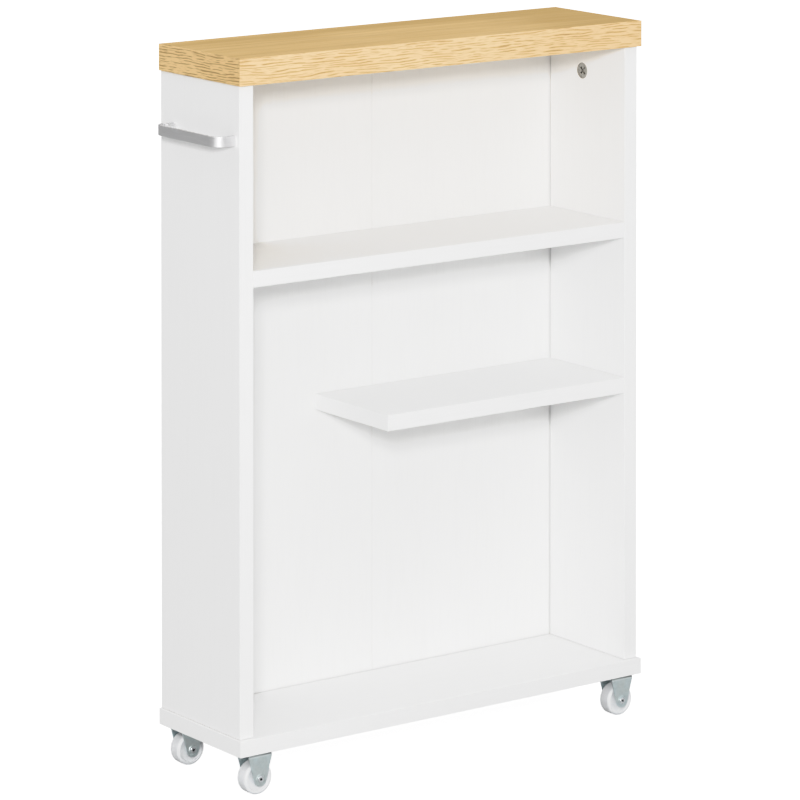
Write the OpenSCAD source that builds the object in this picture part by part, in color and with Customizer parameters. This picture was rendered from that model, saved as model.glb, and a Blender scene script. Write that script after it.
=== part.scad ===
// Narrow rolling pantry cart: white melamine boards under an oak-effect top, a bow handle on the
// left end and four fixed plate casters, joined by cam fittings, dowels and screws.
// +X runs away from the handle, +Y to the back, +Z up. The origin is on the floor, under the
// middle of the cart. Inside carcass(), places are counted from the left end of the top, the
// front edge of the top and the underside of the base.

/* [Carcass] */
// Length of the top and the base
cart_len = 470; // [440:5:520]
// Depth of the top and the base
cart_depth = 135; // [128:1:150]
// Height from the underside of the base to the upper face of the top
carcass_h = 636; // [610:1:700]
// Thickness of the oak-effect top
top_t = 25; // [22:1:30]
// Thickness of every white board
board_t = 15; // [15:0.5:18]
// How far the top and base reach past the side panels at each end
end_step = 2.5; // [1:0.5:4]
// How far the top and base reach past the side panels at the front
front_step = 4.5; // [2:0.5:7]

/* [Shelves] */
// Height of the underside of the full-length shelf
upper_shelf_z = 426; // [390:1:460]
// Height of the underside of the short shelf
lower_shelf_z = 275; // [220:1:320]
// Distance from the left end of the top to the free end of the short shelf
lower_shelf_start = 169; // [130:1:200]

/* [Back] */
// Thickness of the hardboard back
back_t = 3; // [2.5:0.1:3.2]
// Distance from the rear edge of the top to the rear face of the back
back_inset = 10.8; // [9:0.2:13]
// Depth of the grooves that hold the back
groove_depth = 5; // [4:0.5:5.5]
// Width of the tape over the seam between the two back panels
tape_w = 38; // [25:1:50]

/* [Handle] */
// Width of the handle over its two legs
handle_w = 104; // [99:0.5:110]
// How far the handle stands out from the side panel
handle_out = 21.5; // [16:0.5:30]
// Height of the handle's strip
handle_h = 9.8; // [8:0.2:14]
// Thickness of the handle's strip
handle_t = 2.8; // [2.5:0.1:4]
// Outer radius of the handle's corners
handle_r = 12; // [8:1:14]
// Distance between the handle's two screws
handle_pitch = 96; // [94:1:96]
// Height of the handle's middle
handle_z = 560.3; // [520:0.1:565]
// Distance from the front edge of the top to the handle's middle
handle_y = 63; // [60:0.1:72]

/* [Casters] */
// Height from the floor to the underside of the base
caster_h = 38; // [37:1:42]
// Radius of a wheel
wheel_r = 15; // [14:0.5:15]
// Width of a wheel's tread
wheel_w = 14.5; // [12:0.5:15]
// Rounding of a wheel's shoulders
wheel_edge_r = 2.5; // [2:0.5:3]
// Radius of the rivet a wheel turns on
axle_r = 2; // [1.8:0.1:2.2]
// Distance from an end of the base to a wheel's middle
caster_end = 22.8; // [21:0.1:30]
// Distance from the front of the base to a front wheel's middle
caster_front = 11.2; // [11.2:0.1:14]
// Distance from the rear of the base to a rear wheel's middle
caster_rear = 12.6; // [11.2:0.1:14]

/* [Hidden] */
$fn = 64;

// Turns that point a child's +Z along a row axis
UP = [0, 0, 0];
DOWN = [180, 0, 0];
RIGHTWARD = [0, 90, 0];
LEFTWARD = [0, -90, 0];
REARWARD = [-90, 0, 0];
FORWARD = [90, 0, 0];

// Clearances: a cut's run past a face, a fitting in its bore, the back in its groove
cut = 0.5;
slack = 0.05;
axle_slack = 0.03;
back_slack = 0.2;

// Colours
WHITE = [0.95, 0.95, 0.94];
OAK = [0.87, 0.70, 0.46];
BROWN = [0.55, 0.40, 0.26];
ZINC = [0.62, 0.65, 0.67];
STEEL = [0.75, 0.76, 0.78];
SATIN = [0.72, 0.72, 0.73];
BEECH = [0.86, 0.74, 0.56];
NYLON = [0.90, 0.90, 0.90];

// Boards
row_x = (handle_out - end_step - cart_len) / 2;
inner_l = end_step + board_t;
inner_r = cart_len - end_step - board_t;
side_mids = [end_step + board_t / 2, cart_len - end_step - board_t / 2];
top_z = carcass_h - top_t;
back_rear = cart_depth - back_inset;
back_front = back_rear - back_t;
groove_w = back_t + 2 * back_slack;
seam_x = cart_len / 2;
seam_gap = 0.3;
tape_t = 0.4;

// Cam fittings: a lock in the face of one board, a bolt from the board it pulls up to
cam_r = 7.4;
cam_bore_r = 7.5;
cam_bore_depth = 12.5;
cam_h = 11.8;
cam_sink = 0.3;
cam_rim = 1;
cam_dish = 0.4;
cam_cross = [9.4, 2, 4];
cam_mouth_r = 3.7;
bolt_thread_r = 2.95;
bolt_thread_l = 10;
bolt_collar = [3.75, 2];
bolt_neck_r = 2.2;
bolt_head = [3.2, 3.2];
edge_bore_r = 4;
top_cam_reach = 30;
shelf_cam_reach = 24;
top_cam_y = 70.4;
shelf_cam_ys = [front_step + 30, back_front - 26];

// Dowels and screws: lengths run from the joint between two boards
dowel_r = 4;
dowel_l = 30;
dowel_chamfer = 1;
top_dowel_ys = [34.5, 106];
top_dowel_up = 12;
base_dowel_y = 70;
base_dowel_down = 10;
base_screw_ys = [42, 98];
base_screw_head = [5, 4];
base_screw_neck_r = 3.45;
base_screw_thread_r = 3.2;
base_screw_l = 50;
base_screw_socket = [2.3, 3];
screw_cross_w = 0.8;
back_screw_r = 1.5;
back_screw_l = 16;
back_screw_head = [3, 1.6];
upper_back_screw_xs = [70, 175, 295, 400];
lower_back_screw_xs = [lower_shelf_start + 28, lower_shelf_start + 144, lower_shelf_start + 260];
handle_screw_r = 2;
handle_screw_reach = 8;
handle_screw_head = [4, 2.6];
handle_boss_r = (handle_w - handle_pitch) / 2;
handle_boss_l = 10;
caster_screw_r = 1.7;
caster_screw_l = 8.8;
caster_screw_head = [3.3, 2];

// Casters
strap_t = 1.2;
strap_bend_r = 2;
strap_straight = 1;
strap_half = 12.5;
wheel_gap = 1.7;
strap_w = wheel_w + 2 * (wheel_gap + strap_t);
axle_drop = caster_h - wheel_r;
leg_end_r = 6.6;
leg_boss = [5, 4.3, 0.4];
tab_x = 14.8;
tab_r = 4;
hub_r = 4.6;
hub_proud = 1.5;
wheel_bore_r = axle_r + 0.07;
dish_r = 11.4;
dish_depth = 1.5;
rivet_seat = strap_w / 2 + leg_boss[2];
rivet_lip_r = 0.6;
rivet_lip_x = 2.5;
rivet_hollow = [1.3, 3.2];
caster_xs = [caster_end, cart_len - caster_end];
caster_ys = [caster_front, cart_depth - caster_rear];
LEFT = 0;
RIGHT = 1;
FRONT = 0;
REAR = 1;

// ---- Placing ----

// Moves the children from the carcass's corner to the row's origin
module carcass() {
    translate([row_x, -cart_depth / 2, caster_h]) children();
}

// Puts the children at a point, turned to face one way
module place(at, facing = UP, spin = 0) {
    translate(at) rotate(facing) rotate([0, 0, spin]) children();
}

// Puts the children at one caster
module at_caster(depth_side, end) {
    carcass() translate([caster_xs[end], caster_ys[depth_side], 0]) children();
}

// ---- Cuts ----

// A box between two corners
module block(low, high) {
    translate(low) cube(high - low);
}

// A round bore that starts at a face
module bore(at, facing, r, depth) {
    place(at, facing) translate([0, 0, -cut]) cylinder(r = r, h = depth + cut);
}

// The wide bore for a lock in a board's face, and the narrow one to it from the board's edge
module cam_bores(face_at, face_in, edge_at, edge_in, reach) {
    bore(face_at, face_in, cam_bore_r, cam_bore_depth);
    bore(edge_at, edge_in, edge_bore_r, reach);
}

// The groove for the back, cut along a board between two corners of the back's middle plane
module back_groove(low, high) {
    block([low.x, back_front - back_slack, low.z], [high.x, back_rear + back_slack, high.z]);
}

// ---- Hardware ----

// A lock with its face at the origin, facing +Z, and its mouth towards +X
module cam_lock() {
    difference() {
        translate([0, 0, -cam_sink - cam_h]) cylinder(r = cam_r, h = cam_h);
        translate([0, 0, -cam_sink - cam_dish]) cylinder(r = cam_r - cam_rim, h = 1);
        for (turn = [45, 135]) {
            rotate([0, 0, turn]) translate([0, 0, -cam_sink]) cube(cam_cross, center = true);
        }
        translate([0, 0, -board_t / 2]) rotate(RIGHTWARD) cylinder(r = cam_mouth_r, h = cam_r + 1);
        translate([0, 0, -board_t / 2]) sphere(r = cam_mouth_r);
    }
}

// A bolt from the joint at the origin: the thread goes down, the neck and head go up to the lock
module cam_bolt(reach) {
    translate([0, 0, -bolt_thread_l]) cylinder(r = bolt_thread_r, h = bolt_thread_l);
    cylinder(r = bolt_collar[0], h = bolt_collar[1]);
    cylinder(r = bolt_neck_r, h = reach);
    translate([0, 0, reach - bolt_head[1] / 2]) cylinder(r = bolt_head[0], h = bolt_head[1]);
}

// A round wooden dowel along +Z with chamfered ends
module dowel() {
    tip_r = dowel_r - dowel_chamfer;
    cylinder(r1 = tip_r, r2 = dowel_r, h = dowel_chamfer);
    translate([0, 0, dowel_chamfer]) cylinder(r = dowel_r, h = dowel_l - 2 * dowel_chamfer);
    translate([0, 0, dowel_l - dowel_chamfer]) cylinder(r1 = dowel_r, r2 = tip_r, h = dowel_chamfer);
}

// A pan-head screw: the head sits on the origin and faces +Z, the shank goes down
module pan_screw(shank_r, shank_l, head) {
    dome_r = (head[0] * head[0] + head[1] * head[1]) / (2 * head[1]);
    translate([0, 0, -shank_l]) cylinder(r = shank_r, h = shank_l);
    difference() {
        intersection() {
            cylinder(r = head[0], h = head[1]);
            translate([0, 0, head[1] - dome_r]) sphere(r = dome_r);
        }
        for (turn = [45, 135]) {
            rotate([0, 0, turn]) translate([0, 0, head[1]])
                cube([head[0], screw_cross_w, head[1]], center = true);
        }
    }
}

// A connecting screw for board edges: its flat head is at the origin, the thread goes up
module edge_screw() {
    difference() {
        union() {
            cylinder(r1 = base_screw_head[0], r2 = base_screw_neck_r, h = base_screw_head[1]);
            cylinder(r = base_screw_neck_r, h = board_t);
            cylinder(r = base_screw_thread_r, h = base_screw_l);
        }
        translate([0, 0, -cut])
            cylinder(r = base_screw_socket[0], h = base_screw_socket[1] + cut, $fn = 6);
    }
}

// ---- Boards ----

module top_slab() {
    color(OAK) carcass() difference() {
        block([0, 0, top_z], [cart_len, cart_depth, carcass_h]);
        back_groove([inner_l - groove_depth, 0, top_z - cut],
                    [inner_r + groove_depth, 0, top_z + groove_depth]);
        for (x = side_mids) {
            bore([x, top_cam_y, top_z], UP, bolt_thread_r + slack, bolt_thread_l + cut);
            for (y = top_dowel_ys) bore([x, y, top_z], UP, dowel_r + slack, top_dowel_up + cut);
        }
    }
}

module base_panel() {
    color(WHITE) carcass() difference() {
        block([0, 0, 0], [cart_len, cart_depth, board_t]);
        back_groove([inner_l - groove_depth, 0, board_t - groove_depth],
                    [inner_r + groove_depth, 0, board_t + cut]);
        for (x = side_mids) {
            bore([x, base_dowel_y, board_t], DOWN, dowel_r + slack, base_dowel_down + cut);
            for (y = base_screw_ys) {
                bore([x, y, 0], UP, base_screw_neck_r + slack, board_t + cut);
                translate([x, y, 0])
                    cylinder(r1 = base_screw_head[0] + slack, r2 = base_screw_neck_r + slack,
                             h = base_screw_head[1]);
            }
        }
        for (x = caster_xs, y = caster_ys, s = [-1, 1]) {
            bore([x + s * tab_x, y, 0], UP, caster_screw_r + slack, caster_screw_l + cut);
        }
    }
}

// A side panel at one end, with the bores both have: locks and dowels to the top, screws and a
// dowel to the base, and bolts for the full-length shelf
module side_panel(end) {
    outer = [end_step, cart_len - end_step][end];
    inner = [inner_l, inner_r][end];
    mid = side_mids[end];
    outwards = [LEFTWARD, RIGHTWARD][end];
    groove_end = [inner_l - groove_depth, inner_r + groove_depth][end];
    past_face = [inner + cut, inner - cut][end];
    difference() {
        block([min(outer, inner), front_step, board_t], [max(outer, inner), cart_depth, top_z]);
        back_groove([min(groove_end, past_face), 0, board_t - cut],
                    [max(groove_end, past_face), 0, top_z + cut]);
        cam_bores([inner, top_cam_y, top_z - top_cam_reach], outwards,
                  [mid, top_cam_y, top_z], DOWN, top_cam_reach);
        for (y = top_dowel_ys) {
            bore([mid, y, top_z], DOWN, dowel_r + slack, dowel_l - top_dowel_up + cut);
        }
        bore([mid, base_dowel_y, board_t], UP, dowel_r + slack, dowel_l - base_dowel_down + cut);
        for (y = base_screw_ys) {
            bore([mid, y, board_t], UP, base_screw_thread_r + slack, base_screw_l - board_t + cut);
        }
        for (y = shelf_cam_ys) {
            bore([inner, y, upper_shelf_z + board_t / 2], outwards,
                 bolt_thread_r + slack, bolt_thread_l + cut);
        }
    }
}

module left_side_panel() {
    color(WHITE) carcass() difference() {
        side_panel(LEFT);
        for (s = [-1, 1]) {
            bore([inner_l, handle_y + s * handle_pitch / 2, handle_z], LEFTWARD,
                 handle_screw_r + slack, board_t + cut);
        }
    }
}

module right_side_panel() {
    color(WHITE) carcass() difference() {
        side_panel(RIGHT);
        for (y = shelf_cam_ys) {
            bore([inner_r, y, lower_shelf_z + board_t / 2], RIGHTWARD,
                 bolt_thread_r + slack, bolt_thread_l + cut);
        }
    }
}

// A shelf between two places along the cart, with lock bores at the ends listed
module shelf(start, finish, z, ends, screw_xs) {
    difference() {
        block([start, front_step, z], [finish, back_front, z + board_t]);
        for (end = ends, y = shelf_cam_ys) {
            edge_x = [start, finish][end];
            lock_x = [start + shelf_cam_reach, finish - shelf_cam_reach][end];
            cam_bores([lock_x, y, z], UP,
                      [edge_x, y, z + board_t / 2], [RIGHTWARD, LEFTWARD][end], shelf_cam_reach);
        }
        for (x = screw_xs) {
            bore([x, back_front, z + board_t / 2], FORWARD,
                 back_screw_r + slack, back_screw_l - back_t + cut);
        }
    }
}

module upper_shelf() {
    color(WHITE) carcass()
        shelf(inner_l, inner_r, upper_shelf_z, [LEFT, RIGHT], upper_back_screw_xs);
}

module lower_shelf() {
    color(WHITE) carcass()
        shelf(lower_shelf_start, inner_r, lower_shelf_z, [RIGHT], lower_back_screw_xs);
}

// ---- Back ----

// One half of the back, from a groove to the seam, drilled for the screws that cross it
module back_panel(start, finish) {
    difference() {
        block([start, back_front, board_t - groove_depth + back_slack],
              [finish, back_rear, top_z + groove_depth - back_slack]);
        for (x = upper_back_screw_xs) {
            bore([x, back_rear, upper_shelf_z + board_t / 2], FORWARD, back_screw_r + slack, back_t + cut);
        }
        for (x = lower_back_screw_xs) {
            bore([x, back_rear, lower_shelf_z + board_t / 2], FORWARD, back_screw_r + slack, back_t + cut);
        }
    }
}

module back_panel_left() {
    color(WHITE) carcass() back_panel(inner_l - groove_depth + back_slack, seam_x - seam_gap / 2);
}

module back_panel_right() {
    color(WHITE) carcass() back_panel(seam_x + seam_gap / 2, inner_r + groove_depth - back_slack);
}

module back_seam_tape() {
    color(BROWN) carcass()
        block([seam_x - tape_w / 2, back_rear, board_t], [seam_x + tape_w / 2, back_rear + tape_t, top_z]);
}

// ---- Joining the boards ----

module top_cam_locks() {
    color(ZINC) carcass() {
        place([inner_l, top_cam_y, top_z - top_cam_reach], RIGHTWARD, 180) cam_lock();
        place([inner_r, top_cam_y, top_z - top_cam_reach], LEFTWARD, 0) cam_lock();
    }
}

module top_cam_bolts() {
    color(STEEL) carcass() for (x = side_mids) {
        place([x, top_cam_y, top_z], DOWN) cam_bolt(top_cam_reach);
    }
}

module top_dowels() {
    color(BEECH) carcass() for (x = side_mids, y = top_dowel_ys) {
        translate([x, y, top_z + top_dowel_up - dowel_l]) dowel();
    }
}

module upper_shelf_cam_locks() {
    color(ZINC) carcass() for (y = shelf_cam_ys) {
        place([inner_l + shelf_cam_reach, y, upper_shelf_z], DOWN, 180) cam_lock();
        place([inner_r - shelf_cam_reach, y, upper_shelf_z], DOWN, 0) cam_lock();
    }
}

module upper_shelf_cam_bolts() {
    color(STEEL) carcass() for (y = shelf_cam_ys) {
        place([inner_l, y, upper_shelf_z + board_t / 2], RIGHTWARD) cam_bolt(shelf_cam_reach);
        place([inner_r, y, upper_shelf_z + board_t / 2], LEFTWARD) cam_bolt(shelf_cam_reach);
    }
}

module lower_shelf_cam_locks() {
    color(ZINC) carcass() for (y = shelf_cam_ys) {
        place([inner_r - shelf_cam_reach, y, lower_shelf_z], DOWN, 0) cam_lock();
    }
}

module lower_shelf_cam_bolts() {
    color(STEEL) carcass() for (y = shelf_cam_ys) {
        place([inner_r, y, lower_shelf_z + board_t / 2], LEFTWARD) cam_bolt(shelf_cam_reach);
    }
}

module base_screws() {
    color(STEEL) carcass() for (x = side_mids, y = base_screw_ys) {
        translate([x, y, 0]) edge_screw();
    }
}

module base_dowels() {
    color(BEECH) carcass() for (x = side_mids) {
        translate([x, base_dowel_y, board_t - base_dowel_down]) dowel();
    }
}

module back_screws() {
    color(STEEL) carcass() {
        for (x = upper_back_screw_xs) {
            place([x, back_rear, upper_shelf_z + board_t / 2], REARWARD)
                pan_screw(back_screw_r, back_screw_l, back_screw_head);
        }
        for (x = lower_back_screw_xs) {
            place([x, back_rear, lower_shelf_z + board_t / 2], REARWARD)
                pan_screw(back_screw_r, back_screw_l, back_screw_head);
        }
    }
}

// ---- Handle ----

// A flat block from x = -reach to x = tail, with two round corners at its far end
module bow_outline(reach, width, r, tail) {
    intersection() {
        translate([-reach, -width / 2]) square([reach + tail, width]);
        union() {
            translate([-reach + r, -width / 2]) square([reach - r + tail, width]);
            translate([-reach, -width / 2 + r]) square([reach + tail, width - 2 * r]);
            for (s = [-1, 1]) translate([-reach + r, s * (width / 2 - r)]) circle(r = r);
        }
    }
}

// A strip bent into a U, between an outer and an inner outline
module bow(reach, width, r, t) {
    difference() {
        bow_outline(reach, width, r, 0);
        bow_outline(reach - t, width - 2 * t, r - t, cut);
    }
}

module handle() {
    color(SATIN) carcass() translate([end_step, handle_y, handle_z]) difference() {
        union() {
            linear_extrude(height = handle_h, center = true) bow(handle_out, handle_w, handle_r, handle_t);
            for (s = [-1, 1]) {
                place([0, s * handle_pitch / 2, 0], LEFTWARD) cylinder(r = handle_boss_r, h = handle_boss_l);
            }
        }
        for (s = [-1, 1]) {
            bore([0, s * handle_pitch / 2, 0], LEFTWARD, handle_screw_r + slack, handle_screw_reach + cut);
        }
    }
}

module handle_screws() {
    color(STEEL) carcass() for (s = [-1, 1]) {
        place([inner_l, handle_y + s * handle_pitch / 2, handle_z], RIGHTWARD)
            pan_screw(handle_screw_r, board_t + handle_screw_reach, handle_screw_head);
    }
}

// ---- Casters ----

// Where a line from p to the right of a circle about c touches that circle
function touch(p, c, r) =
    let (v = p - c, turn = atan2(v.y, v.x) - acos(r / norm(v)))
    c + r * [cos(turn), sin(turn)];

// A leg's face, in width and height, from the bend down to its round end about the axle
module leg_outline() {
    axle = [0, -axle_drop];
    shoulder = [strap_half, -strap_bend_r - strap_straight];
    foot = touch(shoulder, axle, leg_end_r);
    polygon([shoulder, foot, [-foot.x, foot.y], [-shoulder.x, shoulder.y]]);
    translate(axle) circle(r = leg_end_r);
}

// The strap's section across the wheel: a plate with a bend at each side
module strap_section() {
    bow(strap_bend_r + strap_straight, strap_w, strap_bend_r, strap_t);
}

// A pressed steel strap: a plate with a screw tab at each end, two bends, and two legs that
// taper to a raised ring about the axle
module caster_bracket() {
    color(ZINC) difference() {
        union() {
            translate([0, 0, -strap_bend_r - strap_straight]) rotate(RIGHTWARD)
                linear_extrude(height = 2 * strap_half, center = true) strap_section();
            translate([0, 0, -strap_t]) linear_extrude(height = strap_t) {
                square([2 * tab_x, 2 * tab_r], center = true);
                for (s = [-1, 1]) translate([s * tab_x, 0]) circle(r = tab_r);
            }
            for (face = [strap_t - strap_w / 2, strap_w / 2]) {
                translate([0, face, 0]) rotate(FORWARD) linear_extrude(height = strap_t) leg_outline();
            }
            for (s = [-1, 1]) {
                place([0, s * strap_w / 2, -axle_drop], s < 0 ? FORWARD : REARWARD)
                    cylinder(r1 = leg_boss[0], r2 = leg_boss[1], h = leg_boss[2]);
            }
        }
        bore([0, -rivet_seat, -axle_drop], REARWARD, axle_r + axle_slack, 2 * rivet_seat + cut);
        for (s = [-1, 1]) {
            bore([s * tab_x, 0, 0], DOWN, caster_screw_r + slack, strap_t + cut);
        }
    }
}

// Half of a wheel's section: tread with round shoulders, dished sides, and a hub that keeps
// the wheel off the legs
module wheel_section() {
    shoulder_x = wheel_r - wheel_edge_r;
    shoulder_y = wheel_w / 2 - wheel_edge_r;
    hub_w = wheel_w + 2 * hub_proud;
    difference() {
        union() {
            translate([0, -wheel_w / 2]) square([shoulder_x, wheel_w]);
            translate([0, -shoulder_y]) square([wheel_r, 2 * shoulder_y]);
            for (s = [-1, 1]) translate([shoulder_x, s * shoulder_y]) circle(r = wheel_edge_r);
            translate([0, -hub_w / 2]) square([hub_r, hub_w]);
        }
        translate([0, -hub_w]) square([wheel_bore_r, 2 * hub_w]);
        translate([hub_r, wheel_w / 2 - dish_depth]) square([dish_r - hub_r, wheel_w]);
        translate([hub_r, -1.5 * wheel_w + dish_depth]) square([dish_r - hub_r, wheel_w]);
    }
}

module caster_wheel() {
    color(NYLON) place([0, 0, -axle_drop], REARWARD) rotate_extrude() wheel_section();
}

// Half of one end of a rivet: shank, rolled lip on the leg's ring, and the hollow in its middle
module rivet_end() {
    difference() {
        union() {
            square([axle_r, rivet_seat]);
            translate([0, rivet_seat]) square([rivet_lip_x, rivet_lip_r]);
            intersection() {
                translate([rivet_lip_x, rivet_seat]) circle(r = rivet_lip_r);
                translate([0, rivet_seat]) square(rivet_lip_x + rivet_lip_r + cut);
            }
        }
        translate([0, rivet_seat + rivet_lip_r - rivet_hollow[1]])
            square([rivet_hollow[0], rivet_hollow[1] + cut]);
    }
}

module caster_axle() {
    color(STEEL) place([0, 0, -axle_drop], REARWARD) rotate_extrude() {
        rivet_end();
        mirror([0, 1]) rivet_end();
    }
}

module caster_screws() {
    color(STEEL) carcass() for (x = caster_xs, y = caster_ys, s = [-1, 1]) {
        place([x + s * tab_x, y, -strap_t], DOWN)
            pan_screw(caster_screw_r, strap_t + caster_screw_l, caster_screw_head);
    }
}

top_slab();
base_panel();
left_side_panel();
right_side_panel();
upper_shelf();
lower_shelf();
back_panel_left();
back_panel_right();
back_seam_tape();
top_cam_locks();
top_cam_bolts();
top_dowels();
upper_shelf_cam_locks();
upper_shelf_cam_bolts();
lower_shelf_cam_locks();
lower_shelf_cam_bolts();
base_screws();
base_dowels();
back_screws();
handle();
handle_screws();
caster_screws();
at_caster(FRONT, LEFT) caster_bracket();  // caster_bracket_front_left
at_caster(FRONT, RIGHT) caster_bracket();  // caster_bracket_front_right
at_caster(REAR, LEFT) caster_bracket();  // caster_bracket_rear_left
at_caster(REAR, RIGHT) caster_bracket();  // caster_bracket_rear_right
at_caster(FRONT, LEFT) caster_wheel();  // caster_wheel_front_left
at_caster(FRONT, RIGHT) caster_wheel();  // caster_wheel_front_right
at_caster(REAR, LEFT) caster_wheel();  // caster_wheel_rear_left
at_caster(REAR, RIGHT) caster_wheel();  // caster_wheel_rear_right
at_caster(FRONT, LEFT) caster_axle();  // caster_axle_front_left
at_caster(FRONT, RIGHT) caster_axle();  // caster_axle_front_right
at_caster(REAR, LEFT) caster_axle();  // caster_axle_rear_left
at_caster(REAR, RIGHT) caster_axle();  // caster_axle_rear_right
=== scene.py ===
"""A narrow rolling pantry cart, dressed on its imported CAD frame.

Everything is in metres, in the frame's own axes: +X runs away from the handle, +Y to the back,
+Z up. Boards are rebuilt as laminated cores with edge bands, the handle as a swept strip and the
wheels as turned shapes. Brackets and fittings stay CAD parts and get their own finishes.
"""
import math
import bmesh
import bpy
from mathutils import Matrix, Vector


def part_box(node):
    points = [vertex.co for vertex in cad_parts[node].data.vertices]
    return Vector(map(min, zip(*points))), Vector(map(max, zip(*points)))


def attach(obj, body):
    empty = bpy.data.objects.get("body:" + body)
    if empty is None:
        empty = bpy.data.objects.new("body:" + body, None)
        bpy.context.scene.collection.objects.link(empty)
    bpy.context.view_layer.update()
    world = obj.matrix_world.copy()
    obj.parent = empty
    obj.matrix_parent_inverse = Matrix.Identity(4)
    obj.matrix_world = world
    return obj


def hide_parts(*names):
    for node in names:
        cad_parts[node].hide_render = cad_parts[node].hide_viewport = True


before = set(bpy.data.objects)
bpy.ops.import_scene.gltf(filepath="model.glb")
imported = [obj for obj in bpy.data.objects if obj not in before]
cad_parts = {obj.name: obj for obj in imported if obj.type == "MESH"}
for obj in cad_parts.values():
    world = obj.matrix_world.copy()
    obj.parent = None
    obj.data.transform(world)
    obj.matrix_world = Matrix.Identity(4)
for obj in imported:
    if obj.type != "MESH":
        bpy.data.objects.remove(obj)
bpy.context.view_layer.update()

MM = 0.001
BODY = "carcass"
X, Y, Z = 0, 1, 2

# Mesh work: the least fold that stays sharp, the sides of a round rod, and how near counts as on
SHARP_FOLD = math.radians(35)
ROD_SIDES = 48
NEAR = 1e-7

# Boards: the edge bands, the fine edges of the cores, the groove for the back with the gap in
# front of it, the back's seam and edges, and how far a plain end stays off its neighbour
BAND = 0.8 * MM
BAND_ROUND = 0.5 * MM
HAIRLINE = 0.07 * MM
GROOVE_GAP = 0.8 * MM
GROOVE_SLACK = 0.2 * MM
SEAM_GAP = 0.12 * MM
SHEET_ROUND = 0.25 * MM
JOINT_GAP = 0.22 * MM

# The wire mesh that marks the rear of hardboard
MESH_PITCH = 1.6 * MM

# Fittings: the cam locks and their bores, the countersinks for the screws under the base, and the
# softened edges of the CAD parts that stay
LOCK_R = 7.4 * MM
LOCK_BORE_R = 7.7 * MM
LOCK_BORE_DEPTH = 12.5 * MM
EDGE_SCREW_HEAD_R = 5 * MM
EDGE_SCREW_NECK_R = 3.45 * MM
EDGE_SCREW_SINK = 4 * MM
FITTING_SLACK = 0.08 * MM
FITTING_EDGE = 0.12 * MM
FITTING_FOLD = math.radians(30)
WELD_REACH = 0.002 * MM

# Handle: a flat strip with two bends, and its screw bosses
STRIP_T = 2.8 * MM
STRIP_BEND_R = 12 * MM
STRIP_EDGE_R = 0.45 * MM
STRIP_BEND_STEPS = 16
STRIP_BOSS_R = 3.95 * MM
STRIP_BOSS_INSET = 4 * MM
STRIP_BOSS_L = 8.6 * MM
STRIP_BOSS_TIP_R = 0.5 * MM

# Wheels: the shoulders, the hub, the dish in each side and the parting line round the tread
WHEEL_EDGE_R = 2.8 * MM
WHEEL_HUB_R = 4.6 * MM
WHEEL_HUB_PROUD = 1.5 * MM
WHEEL_HUB_ROUND = 0.3 * MM
WHEEL_BORE_R = 2.07 * MM
WHEEL_DISH_R = 11.4 * MM
WHEEL_DISH = 1.5 * MM
WHEEL_DISH_ROUND = 0.5 * MM
PARTING_LINE_W = 0.12 * MM
PARTING_LINE_PROUD = 0.08 * MM
WHEEL_SIDES = 96


# ---- Mesh work ----

def add_piece(name, bm, paints):
    """A new object from bm, with its materials in slot order."""
    mesh = bpy.data.meshes.new(name)
    bmesh.ops.recalc_face_normals(bm, faces=bm.faces)
    bm.to_mesh(mesh)
    bm.free()
    for paint in paints:
        mesh.materials.append(paint)
    piece = bpy.data.objects.new(name, mesh)
    bpy.context.scene.collection.objects.link(piece)
    return piece


def add_box(bm, low, high):
    """Adds a box to bm."""
    made = bmesh.ops.create_cube(bm, size=1)
    size = Vector(high) - Vector(low)
    middle = (Vector(high) + Vector(low)) / 2
    for v in made["verts"]:
        v.co = Vector(v.co[i] * size[i] + middle[i] for i in range(3))


def on_plane(edge, axis, value):
    """True if both ends of edge lie at value along axis."""
    return all(abs(v.co[axis] - value) < NEAR for v in edge.verts)


def bevel(bm, edges, width, segments):
    """Rounds edges off to width."""
    bmesh.ops.bevel(bm, geom=list(edges), offset=width, segments=segments, profile=0.5, affect="EDGES")


def bridge(bm, here, there):
    """Joins two rings of points with faces."""
    count = len(here)
    for j in range(count):
        k = (j + 1) % count
        bm.faces.new((here[j], here[k], there[k], there[j]))


def add_rod(bm, at, along, radii, length):
    """Adds a round rod to bm that starts at a point and runs in a direction."""
    along = Vector(along)
    turn = along.to_track_quat("Z", "Y").to_matrix().to_4x4()
    middle = Vector(at) + along * length / 2
    bmesh.ops.create_cone(bm, cap_ends=True, segments=ROD_SIDES, radius1=radii[0], radius2=radii[1],
                          depth=length, matrix=Matrix.Translation(middle) @ turn)


def bake_modifiers(piece):
    """Replaces a piece's mesh with what its modifiers make of it."""
    dg = bpy.context.evaluated_depsgraph_get()
    mesh = bpy.data.meshes.new_from_object(piece.evaluated_get(dg))
    piece.modifiers.clear()
    piece.data = mesh


def combine(piece, tool, operation):
    """Cuts tool out of piece, or joins it on. The new faces keep the tool's material."""
    step = piece.modifiers.new("combine", "BOOLEAN")
    step.operation = operation
    step.object = tool
    step.solver = "EXACT"
    step.material_mode = "TRANSFER"
    bpy.context.view_layer.update()
    bake_modifiers(piece)
    bpy.data.objects.remove(tool)


def shade(piece):
    """Smooth across rounded edges, flat on flat faces, sharp at folds above SHARP_FOLD."""
    piece.data.shade_smooth()
    piece.data.set_sharp_from_angle(angle=SHARP_FOLD)
    step = piece.modifiers.new("even_normals", "WEIGHTED_NORMAL")
    step.weight = 100
    step.keep_sharp = True


def remember_box(piece, node):
    """Lets the finishes know a board's box, so that they can tell its edges from its faces."""
    low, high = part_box(node)
    piece["mid"] = list((low + high) / 2)
    piece["half"] = list((high - low) / 2)


def settle(piece, body, slot, *nodes):
    """Rides piece on a body and lets it stand for CAD nodes. slot is not used."""
    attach(piece, body)
    if nodes:
        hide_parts(*nodes)


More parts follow.
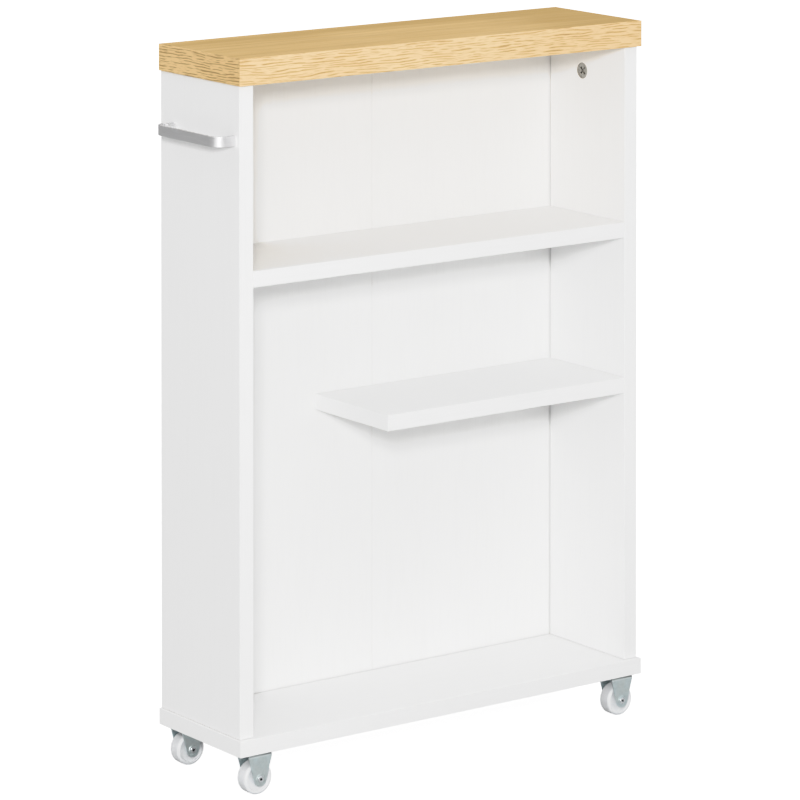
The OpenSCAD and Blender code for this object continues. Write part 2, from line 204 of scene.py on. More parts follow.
# ---- Boards ----

# Each side of a board that can carry a band: its axis, and 0 for the low or 1 for the high end
SIDES = {"left": (X, 0), "right": (X, 1), "front": (Y, 0), "rear": (Y, 1)}


def spots(node, r):
    """The middles of a node's round fittings of radius r, one at each corner of the node's box."""
    low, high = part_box(node)

    def middles(axis):
        ends = (low[axis] + r, high[axis] - r)
        return ends if ends[1] - ends[0] > r else (sum(ends) / 2,)
    return [(x, y) for x in middles(X) for y in middles(Y)]


def trimmed(node, sides):
    """A board's box with its plain ends pulled in by the joint gap, its thin axis and its banded
    sides."""
    low, high = (list(corner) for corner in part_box(node))
    thin = min(range(3), key=lambda i: high[i] - low[i])
    banded = {SIDES[side] for side in sides}
    for axis, end in {(a, e) for a in range(3) for e in (0, 1) if a != thin} - banded:
        (low, high)[end][axis] += (JOINT_GAP, -JOINT_GAP)[end]
    return low, high, thin, banded


def band(node, side, sides, paint):
    """One edge band: a thin strip with rounded outer edges. End bands lie between the long ones."""
    axis, end = SIDES[side]
    low, high = trimmed(node, sides)[:2]
    outer = (low, high)[end][axis]
    if end:
        low[axis] = high[axis] - BAND
    else:
        high[axis] = low[axis] + BAND
    if axis == X:
        low[Y] += BAND if "front" in sides else 0
        high[Y] -= BAND if "rear" in sides else 0
    bm = bmesh.new()
    add_box(bm, low, high)
    rounded = [e for e in bm.edges if on_plane(e, axis, outer)]
    if axis == X:
        rounded = [e for e in rounded if on_plane(e, Z, low[Z]) or on_plane(e, Z, high[Z])]
    bevel(bm, rounded, BAND_ROUND, 4)
    piece = add_piece(f"{node}_band_{side}", bm, [paint])
    remember_box(piece, node)
    shade(piece)
    return piece


def core(node, sides, face_paints, cutters):
    """A board's core: laminate on its low and high faces, raw chipboard at its plain ends and in
    its cuts."""
    low, high, thin, banded = trimmed(node, sides)
    for axis, end in banded:
        (low, high)[end][axis] += (BAND, -BAND)[end]
    bm = bmesh.new()
    add_box(bm, low, high)
    bevel(bm, bm.edges, HAIRLINE, 1)
    bm.normal_update()
    paints = list(dict.fromkeys([*face_paints, PAINTS["chipboard"]]))
    for f in bm.faces:
        axis = max(range(3), key=lambda i: abs(f.normal[i]))
        high_side = int(f.normal[axis] > 0)
        plain_end = axis != thin and (axis, high_side) not in banded
        paint = PAINTS["chipboard"] if plain_end else face_paints[high_side if axis == thin else 0]
        f.material_index = paints.index(paint)
    piece = add_piece(f"{node}_core", bm, paints)
    for make_cutter in cutters:
        combine(piece, make_cutter(), "DIFFERENCE")
    remember_box(piece, node)
    shade(piece)
    return piece


def board(node, slot, sides, face_paints, band_paints, cutters=()):
    """A laminated board in place of a CAD board, with bands along some of its sides. Band paints
    are for its ends and for its long edges."""
    piece = core(node, sides, [PAINTS[name] for name in face_paints], cutters)
    settle(piece, BODY, slot, node)
    for side in sides:
        paint = PAINTS[band_paints[SIDES[side][0]]]
        settle(band(node, side, sides, paint), BODY, slot)


def cutter(fill):
    """A hidden cutting tool, filled in by a function that gets its empty mesh."""
    bm = bmesh.new()
    fill(bm)
    return add_piece("cutter", bm, [PAINTS["chipboard"]])


def back_groove():
    """The space that the two halves of the back need in the boards round them."""
    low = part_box("back_panel_left")[0] - Vector((GROOVE_SLACK, GROOVE_GAP, GROOVE_SLACK))
    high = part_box("back_panel_right")[1] + Vector((GROOVE_SLACK,) * 3)
    return cutter(lambda bm: add_box(bm, low, high))


def lock_bores_under(shelf, locks):
    """Bores for cam locks in the underside of a shelf."""
    face_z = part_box(shelf)[0].z

    def fill(bm):
        for x, y in spots(locks, LOCK_R):
            add_rod(bm, (x, y, face_z - MM), (0, 0, 1), (LOCK_BORE_R,) * 2, LOCK_BORE_DEPTH + MM)
    return lambda: cutter(fill)


def lock_bore_beside(side_panel, inwards):
    """The bore for the top's cam lock in the inner face of a side panel."""
    low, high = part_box("top_cam_locks")
    face_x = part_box(side_panel)[1 if inwards > 0 else 0].x
    middle = (low + high) / 2
    start = (face_x + inwards * MM, middle.y, middle.z)

    def fill(bm):
        add_rod(bm, start, (-inwards, 0, 0), (LOCK_BORE_R,) * 2, LOCK_BORE_DEPTH + MM)
    return lambda: cutter(fill)


def edge_screw_sinks():
    """Countersinks for the connecting screws in the underside of the base."""
    face_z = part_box("base_panel")[0].z
    head_r, neck_r = EDGE_SCREW_HEAD_R + FITTING_SLACK, EDGE_SCREW_NECK_R + FITTING_SLACK
    slope = (head_r - neck_r) / EDGE_SCREW_SINK

    def fill(bm):
        for x, y in spots("base_screws", EDGE_SCREW_HEAD_R):
            start = (x, y, face_z - MM)
            add_rod(bm, start, (0, 0, 1), (head_r + slope * MM, neck_r), EDGE_SCREW_SINK + MM)
    return cutter(fill)


def build_boards():
    """The six boards of the carcass."""
    around = ["front", "rear", "left", "right"]
    oak_faces, oak_bands = ["oak_under", "oak_face"], ["oak_end", "oak_edge"]
    flat, flat_bands = ["white_flat"] * 2, ["white_band_flat"] * 2
    upright, upright_bands = ["white_upright"] * 2, ["white_band_upright"] * 2
    board("top_slab", "oak_board", around, oak_faces, oak_bands, [back_groove])
    board("base_panel", "white_board", around, flat, flat_bands, [back_groove, edge_screw_sinks])
    board("left_side_panel", "white_board", ["front", "rear"], upright, upright_bands,
          [back_groove, lock_bore_beside("left_side_panel", 1)])
    board("right_side_panel", "white_board", ["front", "rear"], upright, upright_bands,
          [back_groove, lock_bore_beside("right_side_panel", -1)])
    board("upper_shelf", "white_board", ["front"], flat, flat_bands,
          [lock_bores_under("upper_shelf", "upper_shelf_cam_locks")])
    board("lower_shelf", "white_board", ["front", "left"], flat, flat_bands,
          [lock_bores_under("lower_shelf", "lower_shelf_cam_locks")])


def build_back():
    """The two halves of the back, white in front and bare fibre behind."""
    seam_x = (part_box("back_panel_left")[1].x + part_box("back_panel_right")[0].x) / 2
    for node in ("back_panel_left", "back_panel_right"):
        low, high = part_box(node)
        if node == "back_panel_left":
            high.x = seam_x - SEAM_GAP / 2
        else:
            low.x = seam_x + SEAM_GAP / 2
        bm = bmesh.new()
        add_box(bm, low, high)
        bevel(bm, bm.edges, SHEET_ROUND, 2)
        bm.normal_update()
        for f in bm.faces:
            faces_front = f.normal.y < -0.3
            f.material_index = 0 if faces_front else 1
        piece = add_piece(f"{node}_sheet", bm, [PAINTS["white_lacquer"], PAINTS["bare_fibre"]])
        shade(piece)
        settle(piece, BODY, "hardboard", node)


# ---- Turned and swept parts ----

def arc(middle, r, start, end, steps):
    """Points on an arc, from one angle to another in degrees."""
    turns = [math.radians(start + (end - start) * i / steps) for i in range(steps + 1)]
    return [(middle[0] + r * math.cos(a), middle[1] + r * math.sin(a)) for a in turns]


def add_turned(bm, middle, profile):
    """Adds a ring turned about the Y axis through middle, from a closed loop of (radius, y)."""
    rings = []
    for i in range(WHEEL_SIDES):
        a = 2 * math.pi * i / WHEEL_SIDES
        spin = Vector((math.cos(a), 0, math.sin(a)))
        rings.append([bm.verts.new(middle + spin * r + Vector((0, y, 0))) for r, y in profile])
    for here, there in zip(rings, rings[1:] + rings[:1]):
        bridge(bm, here, there)


def wheel_profile(r, half_w):
    """A wheel's section: bore, hub, dished side, rounded shoulder and tread, then the same again
    mirrored."""
    hub_y = half_w + WHEEL_HUB_PROUD
    dish_y = half_w - WHEEL_DISH + WHEEL_DISH_ROUND
    hub = (WHEEL_HUB_R - WHEEL_HUB_ROUND, hub_y - WHEEL_HUB_ROUND)
    edge = (r - WHEEL_EDGE_R, half_w - WHEEL_EDGE_R)
    half = [(WHEEL_BORE_R, 0.0), (WHEEL_BORE_R, hub_y)]
    half += arc(hub, WHEEL_HUB_ROUND, 90, 0, 4)
    half += arc((WHEEL_HUB_R + WHEEL_DISH_ROUND, dish_y), WHEEL_DISH_ROUND, 180, 270, 4)
    half += arc((WHEEL_DISH_R - WHEEL_DISH_ROUND, dish_y), WHEEL_DISH_ROUND, 270, 330, 4)
    half += arc(edge, WHEEL_EDGE_R, 90, 0, 10)
    half += [(r, PARTING_LINE_W), (r + PARTING_LINE_PROUD, 0.0)]
    return half + [(x, -y) for x, y in reversed(half[1:-1])]


def build_wheels():
    """The four nylon wheels, each on its own body, with a fine parting line round the tread."""
    for corner in ("front_left", "front_right", "rear_left", "rear_right"):
        node = f"caster_wheel_{corner}"
        low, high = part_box(node)
        bm = bmesh.new()
        r = (high.z - low.z) / 2
        half_w = (high.y - low.y) / 2 - WHEEL_HUB_PROUD
        add_turned(bm, (low + high) / 2, wheel_profile(r, half_w))
        piece = add_piece(f"wheel_{corner}", bm, [PAINTS["nylon"]])
        shade(piece)
        settle(piece, f"wheel_{corner}", "white_nylon", node)


def strip_section(half_t, half_h):
    """A rounded rectangle across the handle's strip, as (out, up) points."""
    x, y, r = half_t - STRIP_EDGE_R, half_h - STRIP_EDGE_R, STRIP_EDGE_R
    corners = [((x, y), 0), ((-x, y), 90), ((-x, -y), 180), ((x, -y), 270)]
    return [p for middle, start in corners for p in arc(middle, r, start, start + 90, 4)]


def strip_path(low, high):
    """The strip's middle line from the front foot round to the rear one, as points with the
    direction that faces outwards there, in radians."""
    r = STRIP_BEND_R
    mid_r = r - STRIP_T / 2
    bends = []
    for (mx, my), start in (((low.x + r, low.y + r), 270), ((low.x + r, high.y - r), 180)):
        for i in range(STRIP_BEND_STEPS + 1):
            turn = math.radians(start - 90 * i / STRIP_BEND_STEPS)
            bends.append((mx + mid_r * math.cos(turn), my + mid_r * math.sin(turn), turn))
    front_foot = (high.x, low.y + STRIP_T / 2, math.radians(270))
    rear_foot = (high.x, high.y - STRIP_T / 2, math.radians(90))
    return [front_foot, *bends, rear_foot]


def screw_boss(x, y, z):
    """A round boss that points out from the board, with a rounded tip."""
    bm = bmesh.new()
    add_rod(bm, (x, y, z), (-1, 0, 0), (STRIP_BOSS_R,) * 2, STRIP_BOSS_L)
    tip = [e for e in bm.edges if on_plane(e, X, x - STRIP_BOSS_L)]
    bevel(bm, tip, STRIP_BOSS_TIP_R, 3)
    return add_piece("boss", bm, [PAINTS["satin"]])


def build_handle():
    """The bow handle: a flat strip swept round two bends, with a screw boss in each leg."""
    low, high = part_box("handle")
    mid_z = (low.z + high.z) / 2
    section = strip_section(STRIP_T / 2, (high.z - low.z) / 2)
    bm = bmesh.new()
    rings = []
    for x, y, turn in strip_path(low, high):
        out = Vector((math.cos(turn), math.sin(turn), 0))
        rings.append([bm.verts.new(Vector((x, y, mid_z + up)) + out * s) for s, up in section])
    for here, there in zip(rings, rings[1:]):
        bridge(bm, here, there)
    bm.faces.new(rings[0])
    bm.faces.new(reversed(rings[-1]))
    piece = add_piece("bow_handle", bm, [PAINTS["satin"]])
    for y in (low.y + STRIP_BOSS_INSET, high.y - STRIP_BOSS_INSET):
        combine(piece, screw_boss(high.x, y, mid_z), "UNION")
    shade(piece)
    settle(piece, BODY, "satin_metal", "handle")


# ---- Finishes ----

class Graph:
    """A node tree under construction."""

    def __init__(self, tree):
        self.tree = tree
        tree.nodes.clear()

    def add(self, kind, inputs=None, output=0, **settings):
        """Adds a node and returns one of its outputs, or the node itself if output is None. Inputs
        are values, or outputs of other nodes to link."""
        node = self.tree.nodes.new("ShaderNode" + kind)
        for key, value in settings.items():
            setattr(node, key, value)
        for key, value in (inputs or {}).items():
            if isinstance(value, bpy.types.NodeSocket):
                self.tree.links.new(value, node.inputs[key])
            else:
                node.inputs[key].default_value = value
        return node if output is None else node.outputs[output]


class Paint(Graph):
    """A material under construction, on the object's own coordinates. Each method adds a node or
    two and returns what they give."""

    def __init__(self, name):
        self.material = bpy.data.materials.new(name)
        self.material.use_nodes = True
        super().__init__(self.material.node_tree)
        self.place = self.add("TexCoord", output="Object")

    def math(self, operation, a, b=0.0, clamp=False):
        return self.add("Math", {0: a, 1: b}, operation=operation, use_clamp=clamp)

    def scaled(self, factors, vector=None):
        return self.add("VectorMath", {0: vector or self.place, 1: factors}, operation="MULTIPLY")

    def noise(self, factors, detail=2.0, roughness=0.5, distortion=0.0, vector=None):
        inputs = {"Vector": self.scaled(factors, vector), "Scale": 1.0, "Detail": detail,
                  "Roughness": roughness, "Distortion": distortion}
        return self.add("TexNoise", inputs)

    def step(self, value, start, end, low=0.0, high=1.0):
        """Turns value into low before start and high after end, smoothly between."""
        inputs = {"Value": value, "From Min": start, "From Max": end, "To Min": low, "To Max": high}
        return self.add("MapRange", inputs, interpolation_type="SMOOTHSTEP")

    def mix(self, share, a, b):
        return self.add("Mix", {0: share, 6: a, 7: b}, output=2, data_type="RGBA")

    def parts(self, vector=None):
        """The X, Y and Z of a vector, or of the place on the object."""
        return self.add("SeparateXYZ", {0: vector or self.place}, output=None).outputs

    def bump(self, height, distance, strength):
        return self.add("Bump", {"Height": height, "Distance": distance, "Strength": strength})

    def done(self, **inputs):
        """Closes the material with a principled surface. Names use _ for a space."""
        named = {key.replace("_", " "): value for key, value in inputs.items()}
        surface = self.tree.nodes.new("ShaderNodeOutputMaterial").inputs["Surface"]
        self.tree.links.new(self.add("BsdfPrincipled", named), surface)
        return self.material


def rgb(r, g, b):
    """A colour from its 0 to 255 screen values."""
    def linear(v):
        v /= 255
        return v / 12.92 if v <= 0.04045 else ((v + 0.055) / 1.055) ** 2.4
    return (linear(r), linear(g), linear(b), 1.0)


PAINTS = {}
WHITE = (0.94, 0.94, 0.938, 1)


def edge_nearness(p, reach):
    """1 on a board's own edges, falling to 0 at a reach inside its faces. The piece carries its
    box as the properties mid and half."""
    mid = p.add("Attribute", output="Vector", attribute_type="OBJECT", attribute_name="mid")
    half = p.add("Attribute", output="Vector", attribute_type="OBJECT", attribute_name="half")
    away = p.add("VectorMath", {0: p.place, 1: mid}, operation="SUBTRACT")
    inside = p.add("VectorMath", {0: away}, operation="ABSOLUTE")
    inside = p.add("VectorMath", {0: half, 1: inside}, operation="SUBTRACT")
    parts = p.parts(inside)
    pairs = [(parts[0], parts[1]), (parts[1], parts[2]), (parts[2], parts[0])]
    tops = [p.math("MAXIMUM", *pair) for pair in pairs]
    second = p.math("MINIMUM", p.math("MINIMUM", tops[0], tops[1]), tops[2])
    return p.step(second, 0.0, reach, 1.0, 0.0)


def painted_recess_shade(p, reach):
    """1 deep inside holes and corners, 0 on open faces: the mask for painted shade in hollows."""
    openness = p.add("AmbientOcclusion", {"Distance": reach}, output="AO", samples=8)
    return p.step(openness, 0.15, 0.75, 1.0, 0.0)


def corner_wear(p, start, end):
    """1 on the convex edges of a finely meshed piece, 0 on its flat faces."""
    return p.step(p.add("NewGeometry", output="Pointiness"), start, end)


def melamine(name, roughness, pearl, grain_marks):
    """White melamine: a faint wood grain with its number of marks in a metre along each axis,
    a fine pearl texture, and slightly greyed edges."""
    p = Paint(name)
    grain = p.noise((720, 720, 720), detail=3, roughness=0.6)
    marks = p.noise(grain_marks, detail=3, roughness=0.6, distortion=0.2)
    cloud = p.noise((5, 5, 5), detail=3)
    smear = p.noise((14, 14, 3), detail=4, roughness=0.65)
    color = p.mix(p.step(cloud, 0.3, 0.7), WHITE, tuple(c * 0.985 for c in WHITE[:3]) + (1,))
    color = p.mix(p.step(marks, 0.5, 0.68, 0, 0.05), color, (0.62, 0.61, 0.6, 1))
    speck = p.math("MULTIPLY", p.step(grain, 0.56, 0.72), 0.035)
    color = p.mix(speck, color, (0.62, 0.61, 0.58, 1))
    scuffs = p.step(p.noise((90, 90, 90), detail=5, roughness=0.7), 0.46, 0.62)
    scuffs = p.math("MULTIPLY", scuffs, edge_nearness(p, 1.3 * MM))
    color = p.mix(p.math("MULTIPLY", scuffs, 0.16), color, (0.66, 0.64, 0.6, 1))
    gloss = p.step(smear, 0.3, 0.75, roughness - 0.05, roughness + 0.07)
    height = p.math("SUBTRACT", grain, p.step(marks, 0.5, 0.68))
    return p.done(Base_Color=color, Roughness=gloss, Normal=p.bump(height, pearl * MM, 0.6))


def bare_fibre():
    """The bare rear of hardboard: brown fibres pressed with a fine wire mesh."""
    p = Paint("bare_fibre")
    wires = 2 * math.pi / MESH_PITCH
    waves = [p.math("SINE", p.math("MULTIPLY", p.parts()[axis], wires)) for axis in (X, Z)]
    weave = p.math("MULTIPLY", *waves)
    fibres = p.noise((240, 60, 420), detail=5, roughness=0.7, distortion=0.6)
    flecks = p.noise((900, 60, 900), detail=2)
    patches = p.noise((9, 9, 5), detail=4)
    color = p.mix(p.step(fibres, 0.32, 0.68), rgb(122, 86, 53), rgb(166, 124, 82))
    color = p.mix(p.step(flecks, 0.6, 0.72, 0, 0.55), color, rgb(84, 58, 36))
    color = p.mix(p.step(patches, 0.35, 0.7, 0, 0.4), color, rgb(150, 106, 66))
    color = p.mix(p.step(weave, -1, 1, 0.16, 0), color, rgb(70, 46, 28))
    height = p.math("ADD", weave, p.math("MULTIPLY", fibres, 1.5))
    return p.done(Base_Color=color, Roughness=0.82, Normal=p.bump(height, 0.1 * MM, 0.7),
                  Specular_IOR_Level=0.25)


def white_lacquer():
    """The painted front of hardboard: smooth, with faint upright grain."""
    p = Paint("white_lacquer")
    marks = p.noise((460, 460, 22), detail=3, roughness=0.65, distortion=0.3)
    cloud = p.noise((4, 4, 3), detail=2)
    color = p.mix(p.step(cloud, 0.3, 0.7), (0.94, 0.94, 0.935, 1), (0.925, 0.925, 0.918, 1))
    color = p.mix(p.step(marks, 0.48, 0.68, 0, 0.05), color, (0.64, 0.62, 0.59, 1))
    gloss = p.step(marks, 0.3, 0.7, 0.42, 0.52)
    return p.done(Base_Color=color, Roughness=gloss, Normal=p.bump(marks, 0.03 * MM, 0.6))


def chipboard():
    """Raw chipboard: pressed flakes of several tones, with painted shade deep in its bores and cuts."""
    p = Paint("chipboard")
    flakes = p.add("TexVoronoi", {"Vector": p.scaled((420, 420, 900)), "Scale": 1.0}, output="Color")
    tone = p.add("SeparateColor", {0: flakes})
    color = p.mix(tone, rgb(150, 116, 76), rgb(206, 176, 130))
    dust = p.noise((1400, 1400, 1400), detail=3)
    color = p.mix(p.step(dust, 0.4, 0.75, 0, 0.5), color, rgb(120, 92, 62))
    # Painted shade deep in the bores and cuts
    color = p.mix(p.math("MULTIPLY", painted_recess_shade(p, 1.5 * MM), 0.85), color, rgb(46, 36, 26))
    return p.done(Base_Color=color, Roughness=0.9, Normal=p.bump(dust, 0.2 * MM, 0.8))


def swayed(p):
    """The place on a board, swayed a little across the grain so that printed lines wander."""
    sway = p.math("MULTIPLY", p.math("SUBTRACT", p.noise((11, 11, 11), detail=1), 0.5), 5 * MM)
    ripple = p.math("MULTIPLY", p.math("SUBTRACT", p.noise((80, 80, 80), detail=1), 0.5), 1 * MM)
    shift = p.math("ADD", sway, ripple)
    both = p.add("CombineXYZ", {1: shift, 2: shift})
    return p.add("VectorMath", {0: p.place, 1: both}, operation="ADD")


def oak_figure(p, belts, fades):
    """The broad tone, from 0 where it is light to 1 where it is darker: random belts and clouds, and
    a drift that darkens away from a light patch left of the middle, and towards the rear."""
    cloud = p.noise((4, 9, 9), detail=2)
    tone = p.math("ADD", p.step(belts, 0.35, 0.65, 0.0, 0.4), p.step(cloud, 0.38, 0.62, 0.0, 0.4))
    from_patch = p.math("ABSOLUTE", p.math("ADD", p.parts()[X], 90 * MM))
    tone = p.math("ADD", tone, p.step(from_patch, 120 * MM, 320 * MM, 0.0, fades[0]))
    return p.math("ADD", tone, p.step(p.parts()[Y], 0.0, 55 * MM, 0.0, fades[1]), clamp=True)


def oak(name, across, marks, pores, tones, bare, depth, fades=(0.0, 0.0)):
    """Printed oak: thin wavy growth lines that come and go along the grain, and short pores. across
    is the phase of the lines in a metre over the grain, marks and pores are numbers in a metre
    along each axis, tones run from light to dark, bare raises the share without lines, depth is
    how dark the lines are, and fades say how much the figure darkens towards the board's ends and
    its rear."""
    p = Paint(name)
    bent = swayed(p)
    phase = p.add("VectorMath", {0: bent, 1: across}, output="Value", operation="DOT_PRODUCT")
    drift = p.math("MULTIPLY", p.noise(tuple(v / 3 for v in marks), detail=1, vector=bent), 14.0)
    lines = p.math("SINE", p.math("ADD", phase, drift))
    breaks = p.noise(marks, detail=1, vector=bent)
    short_marks = p.noise(pores, detail=1, vector=bent)
    belts = p.noise(tuple(v / 5 for v in marks), detail=1, vector=bent)
    light, middle, dark = tones
    color = p.mix(oak_figure(p, belts, fades), light, middle)
    streak = p.math("MULTIPLY", p.step(lines, 0.2, 0.75), p.step(breaks, bare, bare + 0.14))
    streak = p.math("MULTIPLY", streak, depth)
    pore = p.math("MULTIPLY", p.step(short_marks, 0.56, 0.66), 0.5 * depth)
    color = p.mix(pore, p.mix(streak, color, dark), dark)
    rub = p.step(p.noise((60, 60, 60), detail=4, roughness=0.7), 0.48, 0.64)
    rub = p.math("MULTIPLY", p.math("MULTIPLY", rub, edge_nearness(p, 1.2 * MM)), 0.3)
    color = p.mix(rub, color, light)
    height = p.math("SUBTRACT", 1.0, p.math("ADD", streak, pore))
    gloss = p.step(breaks, 0.3, 0.7, 0.46, 0.6)
    return p.done(Base_Color=color, Roughness=gloss, Specular_IOR_Level=0.35,
                  Normal=p.bump(height, 0.06 * MM, 0.6))


def paper_tape():
    """Gummed kraft tape: long fibres, small dark flecks and soft creases."""
    p = Paint("paper_tape")
    fibres = p.noise((900, 900, 140), detail=4, roughness=0.7)
    flecks = p.noise((1600, 1600, 500), detail=2)
    creases = p.noise((40, 40, 160), detail=3, distortion=1.5)
    color = p.mix(p.step(fibres, 0.3, 0.7), rgb(190, 160, 116), rgb(212, 186, 144))
    color = p.mix(p.step(flecks, 0.62, 0.74, 0, 0.5), color, rgb(140, 108, 70))
    height = p.math("ADD", fibres, p.math("MULTIPLY", creases, 3.0))
    return p.done(Base_Color=color, Roughness=p.step(fibres, 0.3, 0.7, 0.6, 0.8),
                  Normal=p.bump(height, 0.05 * MM, 0.8))


def satin_metal():
    """Satin metal with fine brushing along the strip, worn brighter on its edges."""
    p = Paint("satin_metal")
    brush = p.noise((40, 40, 3200), detail=4, roughness=0.7)
    cloud = p.noise((30, 30, 60), detail=3)
    color = p.mix(p.step(brush, 0.3, 0.7), (0.66, 0.66, 0.665, 1), (0.75, 0.75, 0.755, 1))
    color = p.mix(p.step(cloud, 0.35, 0.7, 0, 0.35), color, (0.69, 0.685, 0.68, 1))
    color = p.mix(p.math("MULTIPLY", corner_wear(p, 0.5, 0.6), 0.5), color, (0.85, 0.85, 0.86, 1))
    gloss = p.step(brush, 0.3, 0.7, 0.4, 0.54)
    return p.done(Base_Color=color, Metallic=1.0, Roughness=gloss, Normal=p.bump(brush, 0.01 * MM, 0.5))


def zinc_plate():
    """Bluish bright zinc on pressed steel: mottled and faintly scratched, with painted shade along its
    upper bend, a painted highlight just under it and painted shade in its recesses."""
    p = Paint("zinc_plate")
    mottle = p.noise((260, 260, 260), detail=4, roughness=0.6, distortion=0.8)
    tint = p.noise((70, 70, 70), detail=2)
    scratches = p.noise((120, 2600, 900), detail=3, roughness=0.7, distortion=0.4)
    color = p.mix(p.step(mottle, 0.3, 0.7), (0.62, 0.725, 0.74, 1), (0.72, 0.815, 0.835, 1))
    color = p.mix(p.step(tint, 0.4, 0.7, 0, 0.35), color, (0.67, 0.69, 0.66, 1))
    color = p.mix(p.step(scratches, 0.62, 0.72, 0, 0.4), color, (0.8, 0.86, 0.88, 1))
    height = p.parts()[Z]
    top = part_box("base_panel")[0].z
    # Painted highlight: a light band just under the upper bend
    painted_bend_highlight = p.step(height, top - 3.1 * MM, top - 2.6 * MM, 0, 0.7)
    color = p.mix(painted_bend_highlight, color, (0.86, 0.92, 0.93, 1))
    # Painted shade: a dark band along the upper bend, under the base
    painted_bend_shade = p.step(height, top - 1.9 * MM, top - 1.5 * MM, 0, 0.55)
    color = p.mix(painted_bend_shade, color, (0.10, 0.115, 0.12, 1))
    # Painted shade in the recesses
    color = p.mix(p.math("MULTIPLY", painted_recess_shade(p, 1.5 * MM), 0.6), color, (0.2, 0.23, 0.24, 1))
    gloss = p.step(mottle, 0.3, 0.7, 0.3, 0.46)
    return p.done(Base_Color=color, Metallic=1.0, Roughness=gloss, Normal=p.bump(mottle, 0.02 * MM, 0.4))


def bare_metal(name, dark, light, roughness, grain, depth):
    """A small metal fitting: grainy tone, uneven gloss, a fine surface texture and painted shade in
    its recesses.
    """
    p = Paint(name)
    tone = p.noise((grain, grain, grain), detail=4, roughness=0.65)
    stain = p.noise((190, 190, 190), detail=3)
    color = p.mix(p.step(tone, 0.3, 0.7), dark, light)
    color = p.mix(p.step(stain, 0.45, 0.75, 0, 0.25), color, tuple(c * 0.8 for c in dark[:3]) + (1,))
    # Painted shade in the recesses
    color = p.mix(p.math("MULTIPLY", painted_recess_shade(p, 2.5 * MM), 0.9), color, (0.05, 0.05, 0.045, 1))
    gloss = p.step(tone, 0.3, 0.7, roughness - 0.06, roughness + 0.1)
    return p.done(Base_Color=color, Metallic=1.0, Roughness=gloss, Normal=p.bump(tone, depth * MM, 0.6))


def beech():
    """Turned beech: pale, with short brown flecks."""
    p = Paint("beech")
    grain = p.noise((700, 700, 60), detail=3, roughness=0.6)
    flecks = p.noise((1500, 1500, 260), detail=2)
    color = p.mix(p.step(grain, 0.3, 0.7), rgb(228, 198, 152), rgb(204, 168, 118))
    color = p.mix(p.step(flecks, 0.6, 0.72, 0, 0.6), color, rgb(160, 116, 70))
    return p.done(Base_Color=color, Roughness=0.62, Normal=p.bump(grain, 0.05 * MM, 0.6))


def nylon():
    """Moulded white nylon: slightly translucent, lightly scuffed, with painted shade in its hollows."""
    p = Paint("nylon")
    skin = p.noise((900, 900, 900), detail=3)
    lines = p.noise((8, 2200, 8), detail=2)
    scuff = p.noise((150, 420, 150), detail=5, roughness=0.7)
    color = p.mix(p.step(skin, 0.35, 0.65), (0.84, 0.85, 0.86, 1), (0.81, 0.82, 0.835, 1))
    # Painted shade in the hollows of the sides
    color = p.mix(p.math("MULTIPLY", painted_recess_shade(p, 6 * MM), 0.4), color, (0.58, 0.62, 0.66, 1))
    color = p.mix(p.step(scuff, 0.54, 0.72, 0, 0.18), color, (0.5, 0.5, 0.49, 1))
    gloss = p.step(lines, 0.3, 0.7, 0.34, 0.46)
    height = p.math("ADD", skin, p.math("MULTIPLY", lines, 0.6))
    return p.done(Base_Color=color, Roughness=gloss, Subsurface_Weight=0.4,
                  Subsurface_Scale=2.5 * MM, Subsurface_Radius=(1, 1, 1),
                  Normal=p.bump(height, 0.02 * MM, 0.5))


# The oak's tones, from light to dark, on each side of the top
OAK_TONES = {
    "edge": ((1.0, 0.745, 0.38, 1), (0.95, 0.68, 0.335, 1), (0.46, 0.27, 0.09, 1)),
    "end": ((0.85, 0.60, 0.285, 1), (0.78, 0.54, 0.245, 1), (0.31, 0.18, 0.05, 1)),
    "face": ((0.88, 0.61, 0.262, 1), (0.665, 0.43, 0.138, 1), (0.48, 0.30, 0.085, 1)),
    "under": ((0.76, 0.60, 0.38, 1), (0.71, 0.545, 0.33, 1), (0.56, 0.41, 0.21, 1)),
}


def mix_oak():
    """The top's four oak prints. The lines cross the height of its bands and the depth of its
    faces."""
    up, deep = (0, 0, 2600), (0, 1900, 0)
    band_pores, face_pores = (80, 80, 1900), (42, 1500, 1500)
    PAINTS["oak_edge"] = oak("oak_edge", up, (56, 56, 420), band_pores, OAK_TONES["edge"],
                             0.41, 0.8, (0.8, 0.0))
    PAINTS["oak_end"] = oak("oak_end", up, (60, 60, 420), band_pores, OAK_TONES["end"], 0.38, 0.78)
    PAINTS["oak_face"] = oak("oak_face", deep, (8, 420, 420), face_pores, OAK_TONES["face"],
                             0.42, 0.4, (0.65, 0.5))
    PAINTS["oak_under"] = oak("oak_under", deep, (10, 420, 420), face_pores, OAK_TONES["under"],
                              0.42, 0.4)


def mix_metals():
    """The metals of the handle, the brackets and the small fittings."""
    PAINTS["satin"] = satin_metal()
    PAINTS["zinc"] = zinc_plate()
    PAINTS["cast_zinc"] = bare_metal("cast_zinc", (0.39, 0.385, 0.36, 1), (0.56, 0.555, 0.53, 1),
                                     0.42, 1400, 0.05)
    PAINTS["steel"] = bare_metal("plated_steel", (0.56, 0.58, 0.62, 1), (0.72, 0.73, 0.74, 1),
                                 0.26, 600, 0.01)
    PAINTS["rivet"] = bare_metal("rivet_steel", (0.72, 0.76, 0.79, 1), (0.86, 0.89, 0.91, 1),
                                 0.2, 500, 0.01)


